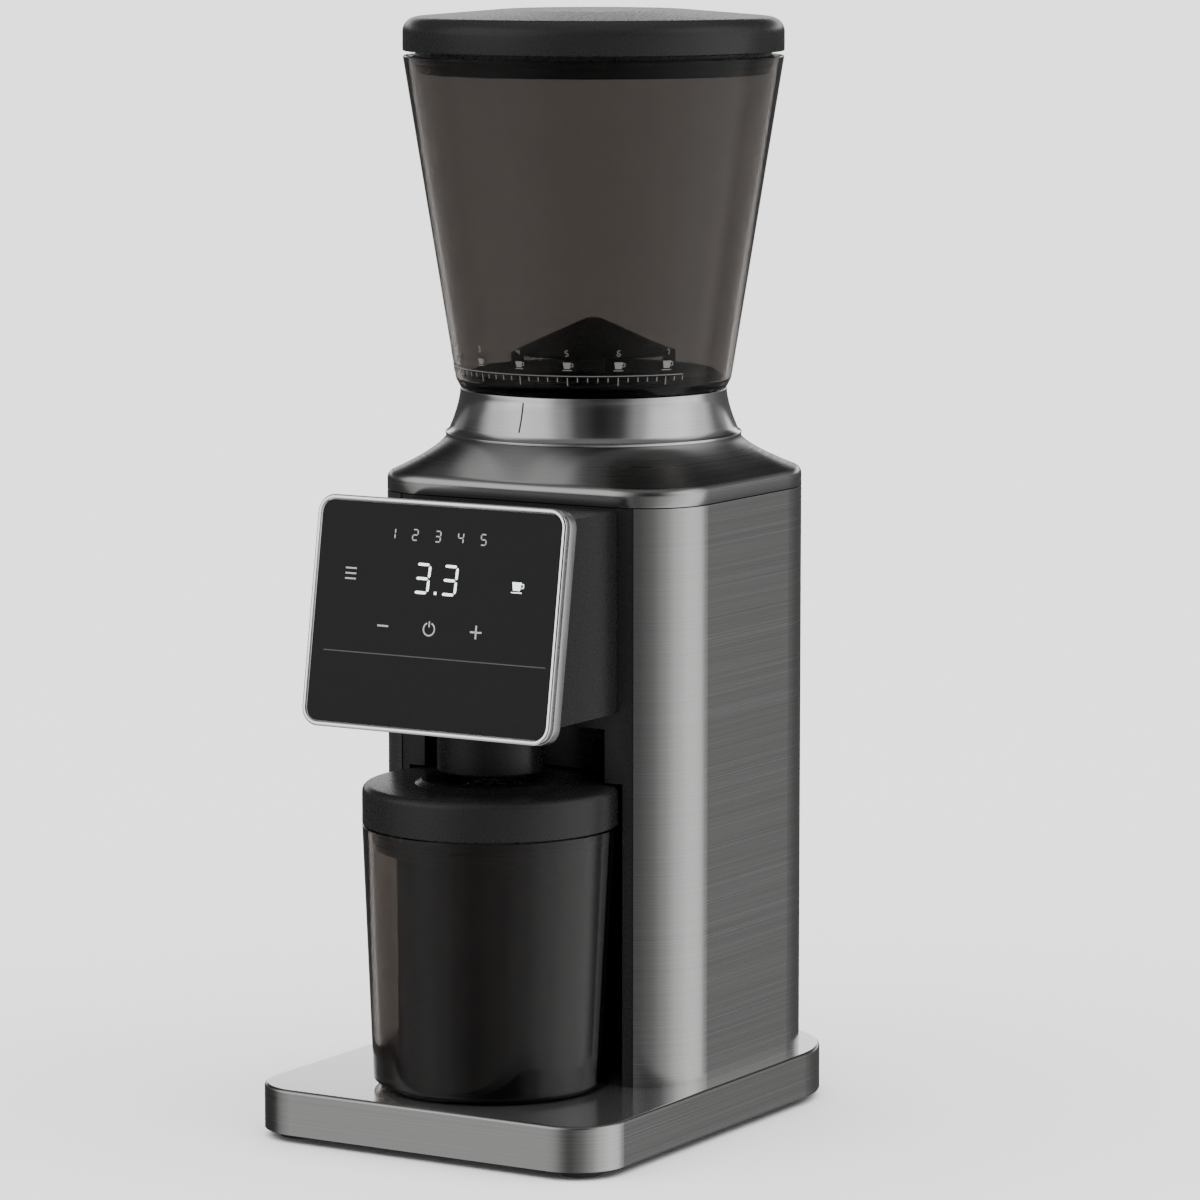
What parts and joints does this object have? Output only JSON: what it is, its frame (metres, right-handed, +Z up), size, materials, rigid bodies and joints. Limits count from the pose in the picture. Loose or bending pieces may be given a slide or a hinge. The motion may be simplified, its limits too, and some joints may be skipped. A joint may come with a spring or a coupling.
{
  "type": "burr coffee grinder",
  "caption": "Electric burr coffee grinder with a smoked bean hopper, a tilted touch panel, a steel column on a steel base and a grounds container in a bay under the spout.",
  "frame": {"origin": "centre of the base footprint, at the height the feet stand on", "axes": "+Z up, -Y to the front with the control panel, +X to the right of someone facing it"},
  "size_m": [0.143, 0.1856, 0.39],
  "materials": {
    "steel": "horizontally brushed",
    "collar_metal": "satin, turned",
    "black_plastic": "black, semi-gloss",
    "matte_black": "black, fine grain",
    "smoked_plastic": "clear smoked",
    "chrome": "polished",
    "silver_plastic": "silver, satin",
    "touch_glass": "black, polished",
    "rubber": "matt",
    "burr_steel": "machined",
    "shaft_steel": "ground",
    "bronze": "sintered",
    "gear_plastic": "acetal",
    "motor_metal": "zinc plated",
    "magnet": "ferrite",
    "circuit_board": "green laminate",
    "display": "number display"
  },
  "bodies": {
    "housing": {"base_cover": "steel", "base_chassis": "matte_black", "foot_front_left": "rubber", "foot_front_right": "rubber", "foot_rear_left": "rubber", "foot_rear_right": "rubber", "base_screws": "shaft_steel", "steel_wrap": "steel", "front_panel": "black_plastic", "inner_frame": "matte_black", "rear_cover": "matte_black", "rear_cover_screws": "shaft_steel", "cord_gland": "rubber", "top_cap": "steel", "neck_ring": "collar_metal", "head_housing": "black_plastic", "panel_bezel": "chrome", "panel_surround": "silver_plastic", "touch_panel": "touch_glass", "display_board": "circuit_board", "led_display": "display", "spout": "black_plastic", "chute": "matte_black", "grinding_chamber": "matte_black", "lower_bearing": "bronze", "upper_bearing": "bronze", "shaft_seal": "rubber", "idler_pin": "shaft_steel", "gearbox_housing": "matte_black", "gearbox_cover": "matte_black", "gearbox_screws": "shaft_steel", "motor_can": "motor_metal", "motor_end_cap": "matte_black", "motor_magnets": "magnet", "motor_mount": "rubber", "power_board": "circuit_board", "hopper_switch": "matte_black"},
    "grind_ring": {"adjusting_ring": "matte_black"},
    "burr_carriage": {"burr_carrier": "matte_black", "ring_burr": "burr_steel"},
    "burr_shaft": {"drive_shaft": "shaft_steel", "output_gear": "gear_plastic", "inner_burr": "burr_steel", "burr_nut": "shaft_steel", "impeller": "matte_black"},
    "idler": {"idler_gear": "gear_plastic"},
    "motor_rotor": {"armature": "motor_metal", "motor_pinion": "bronze", "cooling_fan": "matte_black"},
    "bean_hopper": {"hopper": "smoked_plastic", "hopper_floor": "black_plastic", "bean_guard": "black_plastic"},
    "hopper_cover": {"hopper_lid": "black_plastic", "hopper_lid_seal": "rubber"},
    "grounds_container": {"container": "smoked_plastic"},
    "container_cover": {"container_lid": "black_plastic", "container_lid_seal": "rubber"}
  },
  "joints": [
    {"name": "grind_setting", "type": "hinge", "parent": "housing", "child": "grind_ring", "pos_m": [0, 0.0248, 0.25], "axis": [0, 0, 1], "range_deg": [-70, 70]},
    {"name": "carriage_travel", "type": "slide", "parent": "housing", "child": "burr_carriage", "axis": [0, 0, 1], "range_m": [-0.00125, 0.00125]},
    {"name": "motor_spin", "type": "hinge", "parent": "housing", "child": "motor_rotor", "pos_m": [0.011, 0.0498, 0.1], "axis": [0, 0, 1], "continuous": true},
    {"name": "idler_spin", "type": "hinge", "parent": "housing", "child": "idler", "pos_m": [0.027, 0.0378, 0.16], "axis": [0, 0, 1], "continuous": true},
    {"name": "burr_spin", "type": "hinge", "parent": "housing", "child": "burr_shaft", "pos_m": [0, 0.0248, 0.2], "axis": [0, 0, 1], "continuous": true},
    {"name": "hopper_lift", "type": "slide", "parent": "grind_ring", "child": "bean_hopper", "axis": [0, 0, 1], "range_m": [0, 0.06]},
    {"name": "lid_lift", "type": "slide", "parent": "bean_hopper", "child": "hopper_cover", "axis": [0, 0, 1], "range_m": [0, 0.05]},
    {"name": "container_slide", "type": "slide", "parent": "housing", "child": "grounds_container", "axis": [0, -1, 0], "range_m": [0, 0.13]},
    {"name": "container_lid_turn", "type": "hinge", "parent": "grounds_container", "child": "container_cover", "pos_m": [0, -0.044, 0.115], "axis": [0, 0, 1], "continuous": true}
  ],
  "couplings": [
    {"joint": "idler_spin", "follows": "motor_spin", "ratio": -0.25},
    {"joint": "burr_spin", "follows": "motor_spin", "ratio": 0.0625},
    {"joint": "carriage_travel", "follows": "grind_setting", "m_per_rad": 0.001}
  ]
}
